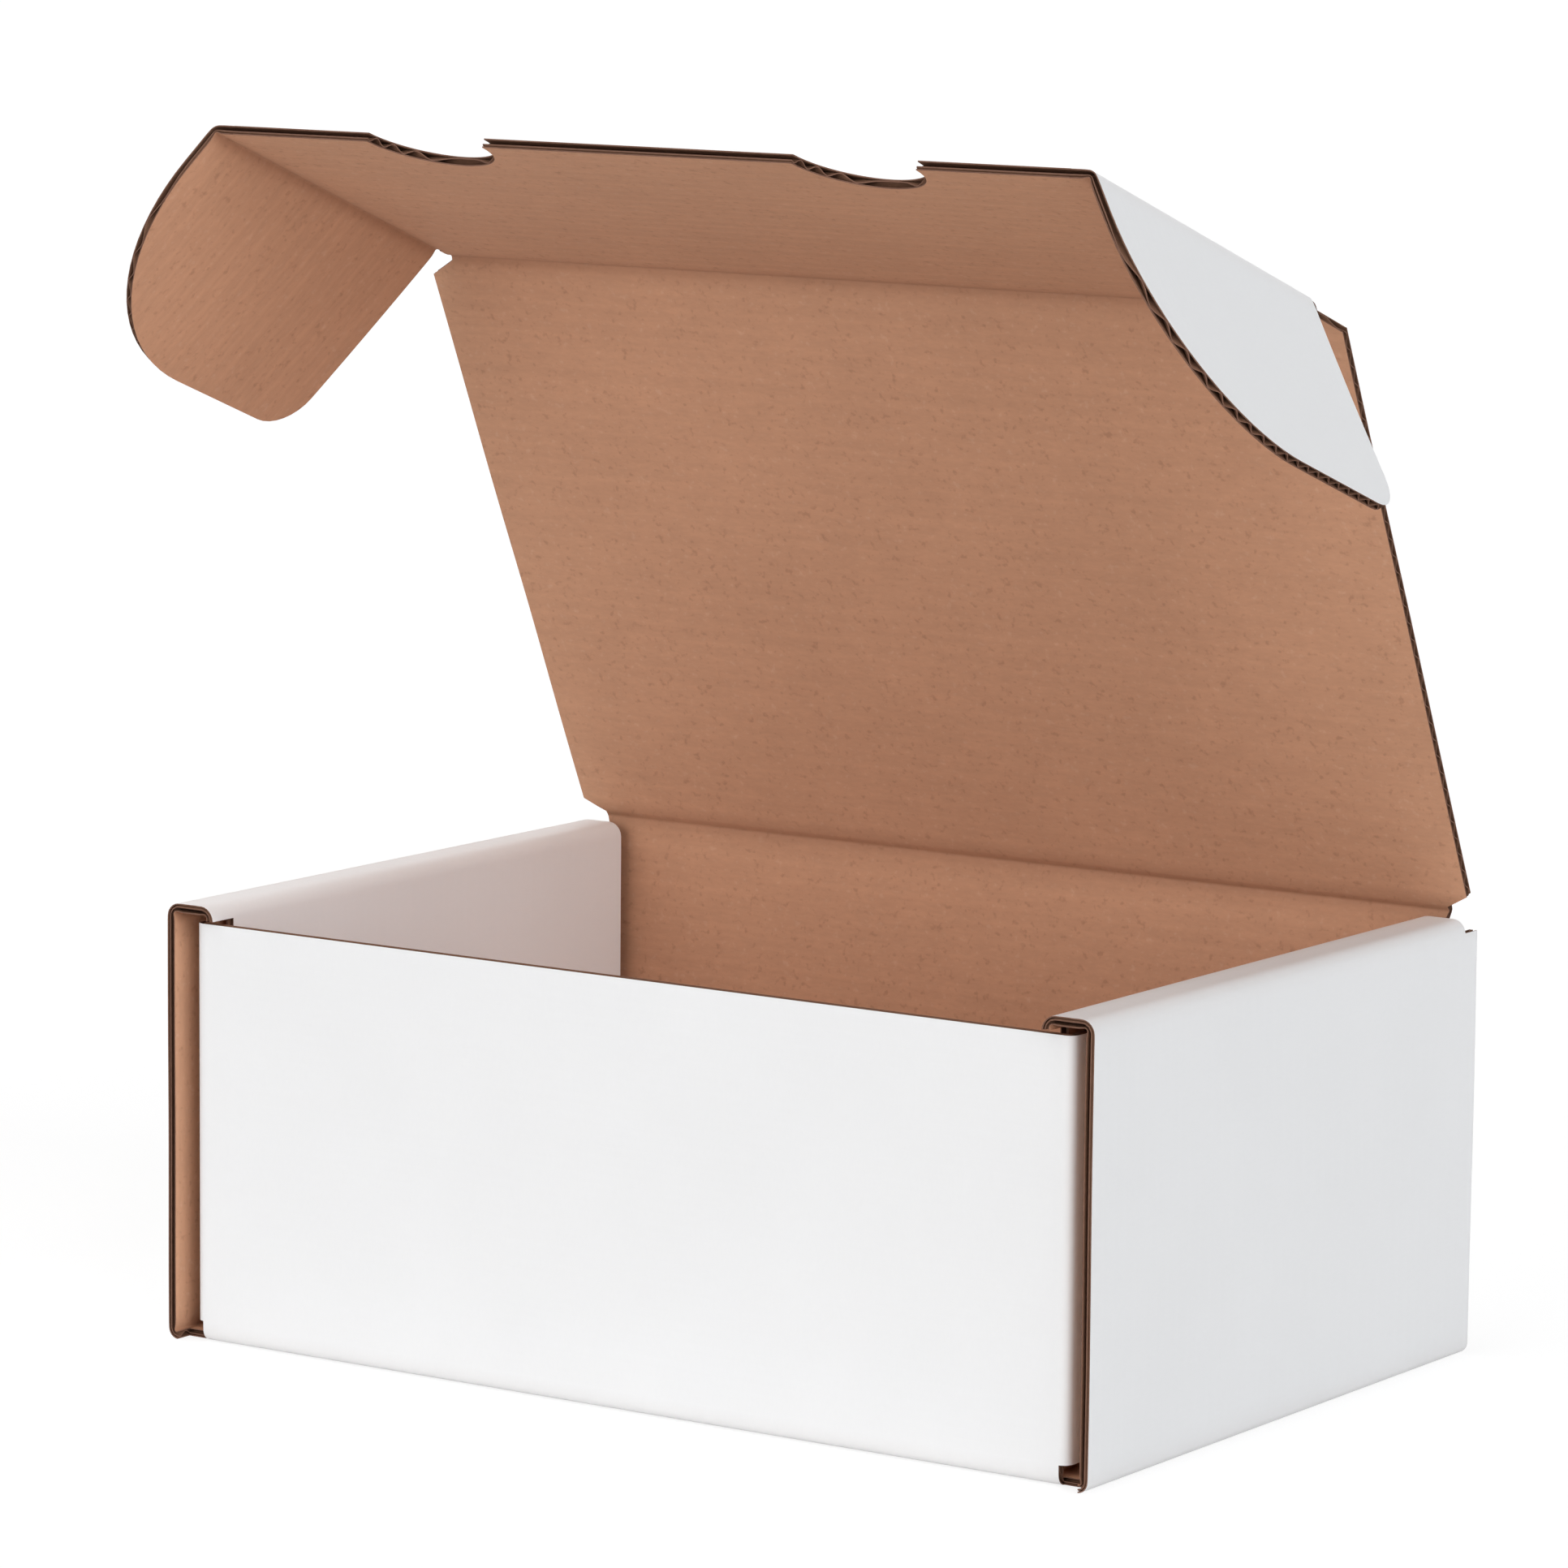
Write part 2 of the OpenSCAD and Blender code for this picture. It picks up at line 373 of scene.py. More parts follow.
def side_polygons():
    """The side panels: outer panel, top strip, inner panel and its two tabs."""
    fold0 = side_path.folds[0][0]
    top_start, top_end = side_path.folds[1]
    inner_start = side_path.folds[2][1]
    inner_front = HALF_D - FRONT_RECESS - BOARD - INNER_END_GAP
    inner_back = HALF_D - BOARD - INNER_END_GAP
    floor_s = side_path.length - INNER_LIFT
    found = [
        rectangle(fold0, top_start, -HALF_D, HALF_D),
        rectangle(top_start, top_end, -HALF_D, inner_back),
        rectangle(top_end, inner_start, -HALF_D, inner_back),
        rectangle(inner_start, floor_s, -inner_front, inner_back),
    ]
    for middle in (-TAB_SPACING / 2, TAB_SPACING / 2):
        found.append(rectangle(floor_s, floor_s + BOARD - LAYER_GAP,
                               middle - TAB_LEN / 2, middle + TAB_LEN / 2))
    return both_sides(found)


def dust_polygon(low, high):
    """A dust flap between two distances up its wall, its far corners cut off."""
    near = corner_path.folds[0][0]
    far = corner_path.length
    cut = DUST_CORNER
    return [(near, low), (far - cut, low), (far, low + cut), (far, high - cut),
            (far - cut, high), (near, high)]


def wall_polygons(path, sign, fold_start, top):
    """A wall on the bottom's edge with its two dust flaps."""
    half = corner_path.folds[0][0]
    dust_low = path.along(1, 1, DUST_Z0)
    dust_high = path.along(1, 1, FRONT_WALL_H)
    found = [rectangle(-half, half, fold_start, dust_low),
             rectangle(-half, half, dust_low, dust_high)]
    if top > dust_high + DUST_MARGIN:
        found.append(rectangle(-half, half, dust_high, top))
    found += both_sides([dust_polygon(dust_low, dust_high)])
    if sign > 0:
        return found
    return [[(u, -v) for u, v in reversed(p)] for p in found]


def tray_polygons():
    """The tray's blank: the bottom, the side panels and the two walls with their dust flaps."""
    u_fold = side_path.folds[0][0]
    front_fold = front_path.folds[0][0]
    back_fold = back_path.folds[0][0]
    return (
        [rectangle(-u_fold, u_fold, -front_fold, back_fold)]
        + side_polygons()
        + wall_polygons(front_path, -1, front_fold, front_path.along(1, 1, FRONT_WALL_H))
        + wall_polygons(back_path, 1, back_fold, WALL_TOP_S))


def slot_boxes():
    """The four slots in the bottom, as (u0, u1, v0, v1)."""
    half_u = HALF + SLOT_PLAY
    half_v = TAB_LEN / 2 + SLOT_PLAY
    centres = [(x * INNER_MID, y * TAB_SPACING / 2) for x in (-1, 1) for y in (-1, 1)]
    return [(u - half_u, u + half_u, v - half_v, v + half_v) for u, v in centres]


def lid_half_width(along):
    """Half the lid's width at a distance from its hinge axis."""
    rise = (along - ROOT_GAP) / HINGE_CORNER_CUT
    width = HINGE_HALF_W + (LID_HALF_W - HINGE_HALF_W) * min(1, max(0, rise))
    short = (along - (LID_LEN - ROOT_GAP - FRONT_CORNER_CUT)) / FRONT_CORNER_CUT
    return width - (LID_HALF_W - CREASE_HALF_W) * min(1, max(0, short))


def band(stations, half_width, origin):
    """Trapezoids between stations along the blank, as wide as half_width says at each."""
    found = []
    for a, b in zip(stations, stations[1:]):
        wa, wb = half_width(a), half_width(b)
        found.append([(-wa, origin + a), (wa, origin + a), (wb, origin + b), (-wb, origin + b)])
    return found


def hinge_polygons():
    """The strip from the back wall's top over the hinge to the lid."""
    wall_half = corner_path.folds[0][0]
    stations = [WALL_TOP_S - HINGE_S, 0, ROOT_GAP, ROOT_GAP + HINGE_CORNER_CUT, FOLD_REACH]
    return band(stations, lambda a: wall_half if a < 0 else lid_half_width(a), HINGE_S)


def lid_polygons():
    """The lid between its two folds, its front corners cut off."""
    stations = [FOLD_REACH, LID_LEN - ROOT_GAP - FRONT_CORNER_CUT, LID_LEN - FOLD_REACH]
    return band(stations, lid_half_width, HINGE_S)


def crease_polygons():
    """The strip from the lid over its front crease to the tuck flap."""
    def half(a):
        if a < -ROOT_GAP:
            return lid_half_width(LID_LEN + a)
        return CREASE_HALF_W - FLAP_TAPER * max(0, a) / FLAP_LEN
    return band([-FOLD_REACH, -ROOT_GAP, 0, FOLD_REACH], half, CREASE_S)


def flap_polygons():
    """The tuck flap between its folds, with two half-round notches in its free edge."""
    low, high = CREASE_S + FOLD_REACH, back_path.length
    centre = NOTCH_SPACING / 2
    turns = [math.pi * i / NOTCH_STEPS for i in range(NOTCH_STEPS + 1)]
    us = [centre - NOTCH_R * math.cos(turn) for turn in turns]

    def edge(v):
        fold = EAR_AXIS_X - (FLAP_TAPER * (v - CREASE_S) / FLAP_LEN)
        return fold - FOLD_REACH / math.cos(FLAP_SLANT)

    found = [[(us[-1], low), (edge(low), low), (edge(high), high), (us[-1], high)]]
    for a, b in zip(us, us[1:]):
        tops = [high - math.sqrt(max(0, NOTCH_R ** 2 - (u - centre) ** 2)) for u in (a, b)]
        found.append([(a, low), (b, low), (b, tops[1]), (a, tops[0])])
    return both_sides(found) + [rectangle(-us[0], us[0], low, high)]


def ear_reach(along):
    """How far an ear reaches from its fold, at a distance along the fold."""
    small = EAR_ROOT_GAP + EAR_SMALL_R - along
    large = along - (FLAP_SIDE_LEN - EAR_LARGE_R)
    if small > 0:
        return EAR_LEN - EAR_SMALL_R + math.sqrt(max(0, EAR_SMALL_R ** 2 - small ** 2))
    if large > 0:
        return EAR_LEN - EAR_LARGE_R + math.sqrt(max(0, EAR_LARGE_R ** 2 - large ** 2))
    return EAR_LEN


def ear_polygons():
    """An ear beyond its fold, with a small round corner at its root and a large one at its tip."""
    small_turns = [math.pi / 2 * i / EAR_SMALL_STEPS for i in range(EAR_SMALL_STEPS + 1)]
    large_turns = [math.pi / 2 * i / EAR_LARGE_STEPS for i in range(EAR_LARGE_STEPS + 1)]
    stations = [EAR_ROOT_GAP + EAR_SMALL_R * (1 - math.cos(turn)) for turn in small_turns]
    stations += [FLAP_SIDE_LEN - EAR_LARGE_R * (1 - math.sin(turn)) for turn in large_turns]
    found = []
    for a, b in zip(stations, stations[1:]):
        found.append([(FOLD_REACH, CREASE_S + a), (ear_reach(a), CREASE_S + a),
                      (ear_reach(b), CREASE_S + b), (FOLD_REACH, CREASE_S + b)])
    return found


def ear_fold_polygons():
    """The strip from the flap over an ear's fold."""
    near, far = CREASE_S + EAR_ROOT_GAP, CREASE_S + FLAP_SIDE_LEN
    return [rectangle(-FOLD_REACH, FOLD_REACH, near, far)]


# From plans to board: two liners with the fluted sheet between them


def even_cuts(low, high, step):
    """Values that divide low..high evenly, about step apart, without its ends."""
    count = max(1, round((high - low) / step))
    return [low + (high - low) * i / count for i in range(1, count)]


def cut_lines(fixed, wanted):
    """All of fixed, and those of wanted that lie clear of every line taken so far."""
    lines = sorted(set(fixed))
    for value in wanted:
        i = bisect.bisect(lines, value)
        if all(abs(value - near) > LINES_APART for near in lines[max(0, i - 1):i + 1]):
            lines.insert(i, value)
    return lines


def split(polygon, axis, value):
    """The parts of a convex polygon below and above a line."""
    below, above = [], []
    for p, q in zip(polygon, polygon[1:] + polygon[:1]):
        dp, dq = p[axis] - value, q[axis] - value
        if dp <= 0:
            below.append(p)
        if dp >= 0:
            above.append(p)
        if dp * dq < 0:
            other = p[1 - axis] + (q[1 - axis] - p[1 - axis]) * dp / (dp - dq)
            point = (value, other) if axis == 0 else (other, value)
            below.append(point)
            above.append(point)
    return below, above


def slices(polygon, axis, lines):
    """Cuts a convex polygon into strips at each of the lines that crosses it."""
    low = min(p[axis] for p in polygon) + SLIVER
    high = max(p[axis] for p in polygon) - SLIVER
    found = []
    for value in lines[bisect.bisect(lines, low):bisect.bisect(lines, high)]:
        below, polygon = split(polygon, axis, value)
        found.append(below)
    return found + [polygon]


def plan_cells(polygons, u_lines, v_lines, holes):
    """The polygons cut along the lines, without the cells that lie in a hole."""
    for polygon in polygons:
        for strip in slices(polygon, 0, u_lines):
            for cell in slices(strip, 1, v_lines):
                u = sum(p[0] for p in cell) / len(cell)
                v = sum(p[1] for p in cell) / len(cell)
                if not any(h[0] < u < h[1] and h[2] < v < h[3] for h in holes):
                    yield cell


def cut_plan(polygons, u_cuts, v_cuts, holes):
    """The polygons as one flat mesh, cut along the given lines, with boxes cut out."""
    u_fixed = [u for p in polygons for u, _ in p] + [u for hole in holes for u in hole[:2]]
    v_fixed = [v for p in polygons for _, v in p] + [v for hole in holes for v in hole[2:]]
    u_lines, v_lines = cut_lines(u_fixed, u_cuts), cut_lines(v_fixed, v_cuts)
    bm = bmesh.new()
    made = {}
    for cell in plan_cells(polygons, u_lines, v_lines, holes):
        corners = [(round(u * KEYS_PER_M), round(v * KEYS_PER_M)) for u, v in cell]
        keys = list(dict.fromkeys(corners))
        if len(keys) < 3:
            continue
        for key in keys:
            if key not in made:
                made[key] = bm.verts.new((key[0] / KEYS_PER_M, key[1] / KEYS_PER_M, 0))
        bm.faces.new([made[key] for key in keys])
    bmesh.ops.remove_doubles(bm, verts=bm.verts, dist=WELD)
    return bm


def add_shell(parts, plan, low, high, low_finish, high_finish, rim_finish):
    """Adds a closed sheet between the heights low(v) and high(v) over the plan to parts."""
    plan.verts.index_update()
    coords, faces, finishes = parts
    base = len(coords)
    count = len(plan.verts)
    coords += [(p.co.x, p.co.y, low(p.co.y)) for p in plan.verts]
    coords += [(p.co.x, p.co.y, high(p.co.y)) for p in plan.verts]
    for face in plan.faces:
        ring = [base + p.index for p in face.verts]
        faces.append(ring[::-1])
        finishes.append(low_finish)
        faces.append([i + count for i in ring])
        finishes.append(high_finish)
        for loop in face.loops:
            if loop.edge.is_boundary:
                a = base + loop.vert.index
                b = base + loop.link_loop_next.vert.index
                faces.append([a, b, b + count, a + count])
                finishes.append(rim_finish)


# The places of a board's four materials in its list
WHITE, KRAFT, CORE, EDGE = range(4)


def fluted_waves(low, high, rows):
    """Lines across the waves between two distances along the blank, in step with the waves."""
    step = FLUTE_PITCH / rows
    return [step * i for i in range(math.ceil(low / step), math.floor(high / step) + 1)]


def board(name, polygons, place, folds, u_cuts=(), v_cuts=(), holes=(), rows=SHOWN_ROWS):
    """A piece of corrugated board over the polygons, folded into place by place(u, v, n).
    folds lists where the board is creased, as functions of the blank's point, and so where shade is
    painted along the creases."""
    us = [u for p in polygons for u, _ in p]
    vs = [v for p in polygons for _, v in p]
    u_even = even_cuts(min(us), max(us), LINER_STEP)
    v_even = even_cuts(min(vs), max(vs), LINER_STEP)
    liner_plan = cut_plan(polygons, [*u_cuts, *u_even], [*v_cuts, *v_even], holes)
    # Between the liners, fewer lines across the waves are enough
    waves = fluted_waves(min(vs), max(vs), rows)
    flute_plan = cut_plan(polygons, [*u_cuts[::2], *u_even[::3]], waves, holes)
    swing = HALF - LINER - FLUTE_SHEET / 2

    def flute(v):
        return swing * math.sin(2 * math.pi * v / FLUTE_PITCH)

    parts = ([], [], [])
    add_shell(parts, liner_plan, lambda v: HALF - LINER, lambda v: HALF, CORE, WHITE, EDGE)
    add_shell(parts, liner_plan, lambda v: -HALF, lambda v: LINER - HALF, KRAFT, CORE, EDGE)
    add_shell(parts, flute_plan, lambda v: flute(v) - FLUTE_SHEET / 2,
              lambda v: flute(v) + FLUTE_SHEET / 2, CORE, CORE, EDGE)
    liner_plan.free()
    flute_plan.free()
    return board_mesh(name, parts, place, folds)


def board_mesh(name, parts, place, folds):
    """The mesh of a board from its parts in the blank, with the blank's points kept on it."""
    coords, faces, finishes = parts
    mesh = bpy.data.meshes.new(name)
    mesh.from_pydata([place(*c) for c in coords], [], faces)
    blank = mesh.attributes.new("blank", "FLOAT_VECTOR", "POINT")
    blank.data.foreach_set("vector", [x for c in coords for x in c])
    # Where shade is painted into the paper along the folds
    crease = mesh.attributes.new("crease", "FLOAT", "POINT")
    crease.data.foreach_set("value", [max(near(*c) for near in folds) for c in coords])
    for finish in finish_materials:
        mesh.materials.append(finish)
    mesh.polygons.foreach_set("material_index", finishes)
    bm = bmesh.new()
    bm.from_mesh(mesh)
    bmesh.ops.recalc_face_normals(bm, faces=bm.faces)
    bm.to_mesh(mesh)
    bm.free()
    mesh.shade_smooth()
    mesh.set_sharp_from_angle(angle=SHARP_ANGLE)
    piece = bpy.data.objects.new(name, mesh)
    bpy.context.scene.collection.objects.link(piece)
    return piece


# Materials


# Colours are linear red, green and blue with a full alpha
WHITE_PAPER = (0.86, 0.86, 0.865, 1)
# Painted shade of the white paper along its creases
WHITE_CREASE_SHADE = (0.74, 0.70, 0.68, 1)
KRAFT_PAPER = (0.60, 0.322, 0.197, 1)
# Painted shade of the kraft paper along its creases
KRAFT_CREASE_SHADE = (0.31, 0.140, 0.078, 1)
DARK_SPECK = (0.27, 0.120, 0.063, 1)
PALE_SPECK = (0.72, 0.46, 0.33, 1)
# The fluting's and the cut edges' own darker brown, darkened further by painted shade of the flutes'
# hollows
FLUTING_LIGHT = (0.25, 0.130, 0.082, 1)
FLUTING_DARK = (0.12, 0.058, 0.034, 1)
CUT_EDGE_LIGHT = (0.27, 0.145, 0.100, 1)
CUT_EDGE_DARK = (0.12, 0.058, 0.040, 1)

# How deep the unevenness of each paper goes
WHITE_RELIEF = 0.012 * MM
KRAFT_RELIEF = 0.03 * MM
CORE_RELIEF = 0.05 * MM


class Nodes:
    """A short way to write the nodes of a material or of the world."""

    def __init__(self, owner):
        self.owner = owner
        owner.use_nodes = True
        self.tree = owner.node_tree
        self.tree.nodes.clear()

    def add(self, kind, inputs=None, **settings):
        made = self.tree.nodes.new(kind)
        for key, value in settings.items():
            setattr(made, key, value)
        for key, value in (inputs or {}).items():
            if isinstance(value, bpy.types.NodeSocket):
                self.tree.links.new(value, made.inputs[key])
            else:
                made.inputs[key].default_value = value
        return made

    def math(self, operation, a, b=0.0):
        return self.add("ShaderNodeMath", {0: a, 1: b}, operation=operation).outputs[0]

    def noise(self, vector, scale, detail, roughness=0.55):
        made = self.add("ShaderNodeTexNoise", {
            "Vector": vector, "Scale": scale, "Detail": detail, "Roughness": roughness})
        return made.outputs["Fac"]

    def stretch(self, vector, factors):
        made = self.add("ShaderNodeVectorMath", {0: vector, 1: factors}, operation="MULTIPLY")
        return made.outputs[0]

    def ramp(self, value, start, end, low=0.0, high=1.0):
        """value moved from start..end onto low..high, and held there beyond."""
        made = self.add("ShaderNodeMapRange", {
            "Value": value, "From Min": start, "From Max": end, "To Min": low, "To Max": high})
        return made.outputs[0]

    def spread(self, value, low, high):
        """value moved from 0..1 onto low..high."""
        return self.ramp(value, 0.0, 1.0, low, high)

    def mix(self, factor, a, b):
        made = self.add("ShaderNodeMix", {"Factor": factor, "A": a, "B": b}, data_type="RGBA")
        return made.outputs[2]

    def mix_some(self, factor, most, a, b):
        """Colour a, with up to the share most of colour b as factor goes from 0 to 1."""
        return self.mix(self.math("MULTIPLY", factor, most), a, b)

    def blank(self):
        """The point of the unfolded blank."""
        return self.add("ShaderNodeAttribute", attribute_name="blank").outputs["Vector"]

    def crease(self):
        """1 on a crease and 0 away from it: where shade is painted along the folds."""
        return self.add("ShaderNodeAttribute", attribute_name="crease").outputs["Fac"]

    def scaled_colour(self, colour, amount):
        made = self.add("ShaderNodeVectorMath", {0: colour, "Scale": amount}, operation="SCALE")
        return made.outputs[0]

    def seen(self):
        """1 for rays that show the background, straight, mirrored or through something clear."""
        path = self.add("ShaderNodeLightPath").outputs
        straight_or_mirrored = self.math("MAXIMUM", path["Is Camera Ray"], path["Is Glossy Ray"])
        return self.math("MAXIMUM", straight_or_mirrored, path["Is Transmission Ray"])

    def finish(self, colour, roughness, height, relief, specular):
        bump = self.add("ShaderNodeBump", {"Height": height, "Distance": relief, "Strength": 1.0})
        shader = self.add("ShaderNodeBsdfPrincipled", {
            "Base Color": colour, "Roughness": roughness, "Normal": bump.outputs[0],
            "Specular IOR Level": specular})
        self.add("ShaderNodeOutputMaterial", {0: shader.outputs[0]})
        return self.owner


def washboard(nodes, blank):
    """The upper half of each flute's wave, 0 to 1, and 0 along its lower half."""
    v = nodes.add("ShaderNodeSeparateXYZ", {0: blank}).outputs["Y"]
    turns = nodes.math("MULTIPLY", v, 2 * math.pi / FLUTE_PITCH)
    return nodes.spread(nodes.math("SINE", turns), 0.0, 1.0)


def white_finish():
    """The outer liner: bleached paper, matt, faintly uneven."""
    nodes = Nodes(bpy.data.materials.new("white_liner"))
    blank = nodes.blank()
    cloud = nodes.noise(blank, scale=30.0, detail=2.0)
    fibre = nodes.noise(nodes.stretch(blank, (1.0, 0.3, 1.0)), scale=2200.0, detail=4.0)
    wave = washboard(nodes, blank)
    # Painted shade along the creases
    white = nodes.mix_some(nodes.crease(), 0.25, WHITE_PAPER, WHITE_CREASE_SHADE)
    shade = nodes.math("ADD", nodes.spread(cloud, 0.975, 1.02), nodes.spread(fibre, -0.012, 0.012))
    colour = nodes.scaled_colour(white, shade)
    roughness = nodes.spread(cloud, 0.5, 0.62)
    height = nodes.math("ADD", wave, nodes.math("MULTIPLY", fibre, 0.5))
    return nodes.finish(colour, roughness, height, WHITE_RELIEF, specular=0.3)


def kraft_shade(nodes, cloud, blotch, fibre, streak, wave):
    """How light the kraft paper is from place to place, about 1, with a faint painted shade in step
    with the flutes' ridges.
    """
    shade = nodes.math("ADD", nodes.spread(cloud, 0.93, 1.07), nodes.spread(blotch, -0.07, 0.07))
    shade = nodes.math("ADD", shade, nodes.spread(fibre, -0.09, 0.09))
    shade = nodes.math("ADD", shade, nodes.spread(streak, -0.045, 0.045))
    # Painted shade of the flutes' ridges, in step with the waves
    return nodes.math("ADD", shade, nodes.spread(wave, -0.010, 0.010))


def kraft_finish():
    """The inner liner: brown kraft paper with fibres, specks and the flutes' faint lines, as bumps and
    as a faint painted shade.
    """
    nodes = Nodes(bpy.data.materials.new("kraft_liner"))
    blank = nodes.blank()
    cloud = nodes.noise(blank, scale=38.0, detail=3.0)
    blotch = nodes.noise(nodes.stretch(blank, (1.0, 1.6, 1.0)), scale=170.0, detail=3.0, roughness=0.6)
    fibre = nodes.noise(nodes.stretch(blank, (0.35, 1.0, 1.0)), scale=1500.0, detail=4.0, roughness=0.6)
    streak = nodes.noise(nodes.stretch(blank, (0.03, 1.0, 1.0)), scale=420.0, detail=2.0)
    speck = nodes.noise(blank, scale=800.0, detail=2.0, roughness=0.5)
    wave = washboard(nodes, blank)
    brown = nodes.mix_some(nodes.ramp(speck, 0.60, 0.74), 0.30, KRAFT_PAPER, DARK_SPECK)
    brown = nodes.mix_some(nodes.ramp(speck, 0.38, 0.26), 0.25, brown, PALE_SPECK)
    # Painted shade along the creases
    brown = nodes.mix_some(nodes.crease(), 0.45, brown, KRAFT_CREASE_SHADE)
    colour = nodes.scaled_colour(brown, kraft_shade(nodes, cloud, blotch, fibre, streak, wave))
    roughness = nodes.spread(blotch, 0.72, 0.86)
    height = nodes.math("ADD", nodes.math("MULTIPLY", wave, 0.7), nodes.math("MULTIPLY", fibre, 0.5))
    return nodes.finish(colour, roughness, height, KRAFT_RELIEF, specular=0.22)


def core_finish(name, light, dark):
    """The fluted sheet and the liners' cut edges: rough brown paper, fibrous, and darker partly by its
    own tone and partly by painted shade of the flutes' hollows.
    """
    nodes = Nodes(bpy.data.materials.new(name))
    blank = nodes.blank()
    torn = nodes.noise(nodes.stretch(blank, (1.0, 1.0, 4.0)), scale=900.0, detail=4.0, roughness=0.65)
    cloud = nodes.noise(blank, scale=60.0, detail=2.0)
    colour = nodes.scaled_colour(nodes.mix(torn, dark, light), nodes.spread(cloud, 0.85, 1.1))
    return nodes.finish(colour, nodes.spread(torn, 0.8, 0.95), torn, CORE_RELIEF, specular=0.15)


# In the order of WHITE, KRAFT, CORE and EDGE
finish_materials = [
    white_finish(),
    kraft_finish(),
    core_finish("fluting", FLUTING_LIGHT, FLUTING_DARK),
    core_finish("cut_edge", CUT_EDGE_LIGHT, CUT_EDGE_DARK),
]


# Pieces


def crease_at(folds, axis=0):
    """How near a blank point is to one of the folds, 1 on it and 0 away from it, which sets the shade
    painted there.
    """
    middles = [(a + b) / 2 for a, b in folds]

    def near(*point):
        s = abs(point[axis])
        return max(math.exp(-((s - m) / CREASE_REACH) ** 2) for m in middles)

    return near


# Where shade is painted along each fold's crease
front_crease = crease_at(front_path.folds, 1)
back_crease = crease_at(back_path.folds[:1], 1)
hinge_crease = crease_at(back_path.folds[1:2], 1)
flap_crease = crease_at(back_path.folds[2:3], 1)
lid_creases = crease_at(back_path.folds[1:3], 1)
side_creases = crease_at(side_path.folds)
ear_crease = crease_at([(0, 0)])


def wall_crease(u, v, n):
    """The painted shade along the crease at the foot of the front or back wall, as wide as the wall."""
    if abs(u) >= DUST_MID:
        return 0.0
    return front_crease(u, v, n) if v < 0 else back_crease(u, v, n)


def side_crease(u, v, n):
    """The painted shade along the creases of a rolled side, which its dust flaps don't have."""
    return side_creases(u, v, n) if abs(v) <= HALF_D else 0.0


def make_tray():
    us = [s for i in range(len(side_path.folds)) for s in side_path.cuts(i)] + corner_path.cuts(0)
    us += [-u for u in us]
    vs = [-s for s in front_path.cuts(0)] + back_path.cuts(0)
    tray = board("tray_board", tray_polygons(), tray_place, [wall_crease, side_crease],
                 us, vs, slot_boxes(), HIDDEN_ROWS)
    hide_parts("tray")
    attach(tray, "tray")


def bend_between(piece, axis_point, before, after):
    """Bakes a fold's piece into the world's frame. before and after, the panels' directions, are not
    used.
    """
    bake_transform(piece)


def make_hinge_fold():
    piece = board("hinge_fold", hinge_polygons(), back_place, [hinge_crease],
                  v_cuts=back_path.cuts(1))
    bend_between(piece, HINGE, Vector((0, 0, 1)), LID_VECTOR.normalized())


def make_lid():
    piece = board("lid_board", lid_polygons(), back_place, [lid_creases])
    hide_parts("lid")
    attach(piece, "lid")


def make_crease_fold():
    piece = board("tuck_fold", crease_polygons(), back_place, [flap_crease],
                  v_cuts=back_path.cuts(2))
    bend_between(piece, CREASE, LID_VECTOR.normalized(), FLAP_DOWN)


def make_flap():
    piece = board("tuck_flap_board", flap_polygons(), back_place, [flap_crease])
    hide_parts("tuck_flap")
    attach(piece, "tuck_flap")


def make_ear(side, name):
    """One ear and its fold, on the left (side -1) or on the right (side 1)."""
    def place(b, v, n):
        return ear_place(side, b, v, n)

    node = name + "_ear"
    ear = board(node + "_board", ear_polygons(), place, [ear_crease])
    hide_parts(node)
    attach(ear, node)
    cuts = [s - EAR_S for s in ear_path.cuts(0, EAR_BEND_STEPS, EAR_CUTS_AROUND)]
    fold = board(node + "_fold", ear_fold_polygons(), place, [ear_crease], cuts)
    middle = CREASE_S + FLAP_SIDE_LEN / 2

    def heading(b):
        """The board's direction, away from the flap, just before distance b from the fold."""
        return (place(b, middle, 0) - place(b - FOLD_REACH, middle, 0)).normalized()

    bend_between(fold, place(0, middle, 0),
                 heading(-FOLD_REACH), heading(2 * FOLD_REACH))


# Floor, light and camera


# The floor's two near whites, the share of its own light and shade that shows to the camera,
# and the white that is added to it there
FLOOR_WHITES = (0.90, 0.90, 0.90, 1), (0.92, 0.92, 0.92, 1)
FLOOR_SHOWN = 0.3
FLOOR_GLOW = 0.82
FLOOR_RADIUS = 14.0
FLOOR_SIDES = 96
FLOOR_DROP = 0.2 * MM

WORLD_COLOUR = (0.97, 0.98, 1.0, 1)
WORLD_LIGHT = 0.05
BACKGROUND = (1, 1, 1, 1)

# Each lamp: name, the way towards it, its spread in degrees, its power and its colour
LAMPS = [
    ("front_light", (-0.15, -1.0, 0.16), 50, 1.42, (1.0, 0.995, 0.985)),
    ("side_light", (1.0, -0.45, 0.45), 50, 1.9, (0.96, 0.98, 1.0)),
    ("top_light", (-0.35, -0.35, 1.0), 60, 0.9, (1.0, 0.99, 0.98)),
    ("back_light", (-0.5, 1.0, 0.5), 60, 0.9, (1.0, 1.0, 1.0)),
]

# The photograph's viewpoint, fitted to the box's corners
CAMERA_AZIMUTH = math.radians(34.193)
CAMERA_RISE = math.radians(8.472)
CAMERA_ROLL = math.radians(0.547)
CAMERA_RANGE = 1.2459
CAMERA_AIM = Vector((-0.008172, 0.0, 0.098165))
CLIP_NEAR, CLIP_FAR = 0.05, 100
# The focal length as a share of the picture's width, both in pixels of the photograph
FOCAL_SHARE = 8882.4 / 1932
SENSOR = 36.0


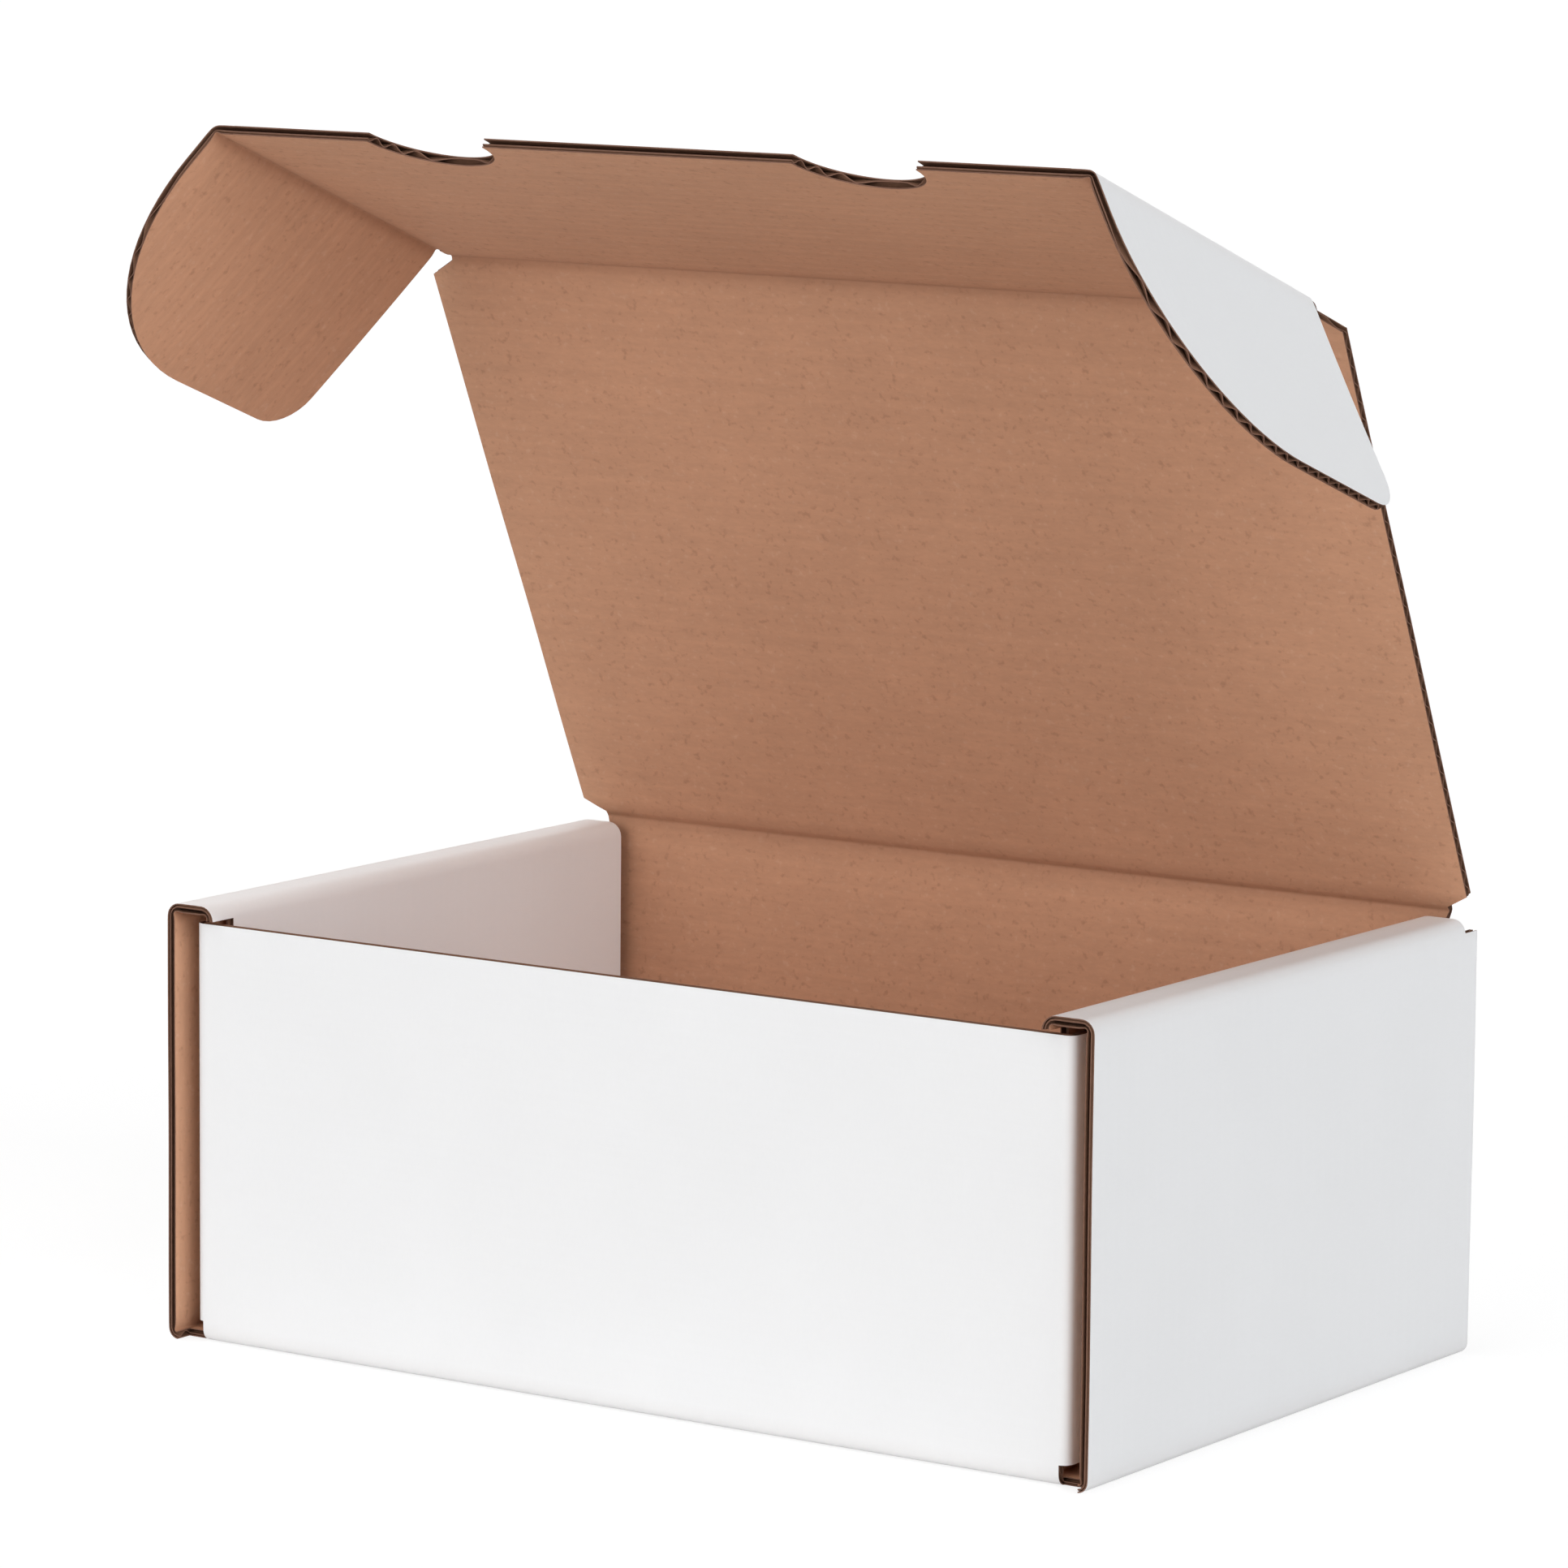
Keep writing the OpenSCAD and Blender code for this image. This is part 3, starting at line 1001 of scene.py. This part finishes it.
def floor_finish():
    """A white floor that keeps the object's shadow and is white to the camera."""
    nodes = Nodes(bpy.data.materials.new("studio_floor"))
    place = nodes.add("ShaderNodeTexCoord").outputs["Object"]
    grain = nodes.noise(place, scale=40.0, detail=2.0)
    seen = nodes.seen()
    white = nodes.mix(grain, *FLOOR_WHITES)
    shown = nodes.scaled_colour(white, FLOOR_SHOWN)
    shader = nodes.add("ShaderNodeBsdfDiffuse", {"Color": nodes.mix(seen, white, shown)})
    glow = nodes.add("ShaderNodeEmission", {"Strength": nodes.math("MULTIPLY", seen, FLOOR_GLOW)})
    total = nodes.add("ShaderNodeAddShader", {0: shader.outputs[0], 1: glow.outputs[0]})
    nodes.add("ShaderNodeOutputMaterial", {0: total.outputs[0]})
    return nodes.owner


def make_floor():
    bm = bmesh.new()
    bmesh.ops.create_circle(bm, cap_ends=True, segments=FLOOR_SIDES, radius=FLOOR_RADIUS)
    mesh = bpy.data.meshes.new("studio_floor")
    bm.to_mesh(mesh)
    bm.free()
    floor = bpy.data.objects.new("studio_floor", mesh)
    bpy.context.scene.collection.objects.link(floor)
    floor.location.z = -FLOOR_DROP
    mesh.materials.append(floor_finish())


def make_world():
    """A faint even light on the object, and pure white for the rays that show the background."""
    world = bpy.data.worlds.new("studio")
    bpy.context.scene.world = world
    nodes = Nodes(world)
    ambient = nodes.add("ShaderNodeBackground", {"Color": WORLD_COLOUR, "Strength": WORLD_LIGHT})
    white = nodes.add("ShaderNodeBackground", {"Color": BACKGROUND, "Strength": 1.0})
    mixed = nodes.add("ShaderNodeMixShader", {
        0: nodes.seen(), 1: ambient.outputs[0], 2: white.outputs[0]})
    nodes.add("ShaderNodeOutputWorld", {0: mixed.outputs[0]})


def add_sun(name, towards, spread, power, colour):
    """A soft, even light that comes from the direction towards."""
    lamp = bpy.data.lights.new(name, "SUN")
    lamp.angle = math.radians(spread)
    lamp.energy = power
    lamp.color = colour
    item = bpy.data.objects.new(name, lamp)
    bpy.context.scene.collection.objects.link(item)
    item.rotation_mode = "QUATERNION"
    item.rotation_quaternion = Vector(towards).to_track_quat("Z", "Y")


def make_camera():
    camera = bpy.data.cameras.new("camera")
    camera.sensor_width = SENSOR
    camera.lens = FOCAL_SHARE * SENSOR
    camera.clip_start = CLIP_NEAR
    camera.clip_end = CLIP_FAR
    item = bpy.data.objects.new("camera", camera)
    bpy.context.scene.collection.objects.link(item)
    back = Vector((math.sin(CAMERA_AZIMUTH) * math.cos(CAMERA_RISE),
                   -math.cos(CAMERA_AZIMUTH) * math.cos(CAMERA_RISE), math.sin(CAMERA_RISE)))
    right = Vector((math.cos(CAMERA_AZIMUTH), math.sin(CAMERA_AZIMUTH), 0))
    up = back.cross(right)
    across = right * math.cos(CAMERA_ROLL) + up * math.sin(CAMERA_ROLL)
    upright = up * math.cos(CAMERA_ROLL) - right * math.sin(CAMERA_ROLL)
    item.rotation_mode = "QUATERNION"
    item.rotation_quaternion = Matrix((across, upright, back)).transposed().to_quaternion()
    item.location = CAMERA_AIM + back * CAMERA_RANGE
    bpy.context.scene.camera = item


make_tray()
make_hinge_fold()
make_lid()
make_crease_fold()
make_flap()
make_ear(-1, "left")
make_ear(1, "right")
make_floor()
make_world()
for lamp_values in LAMPS:
    add_sun(*lamp_values)
make_camera()
bpy.context.scene.view_settings.view_transform = "Standard"
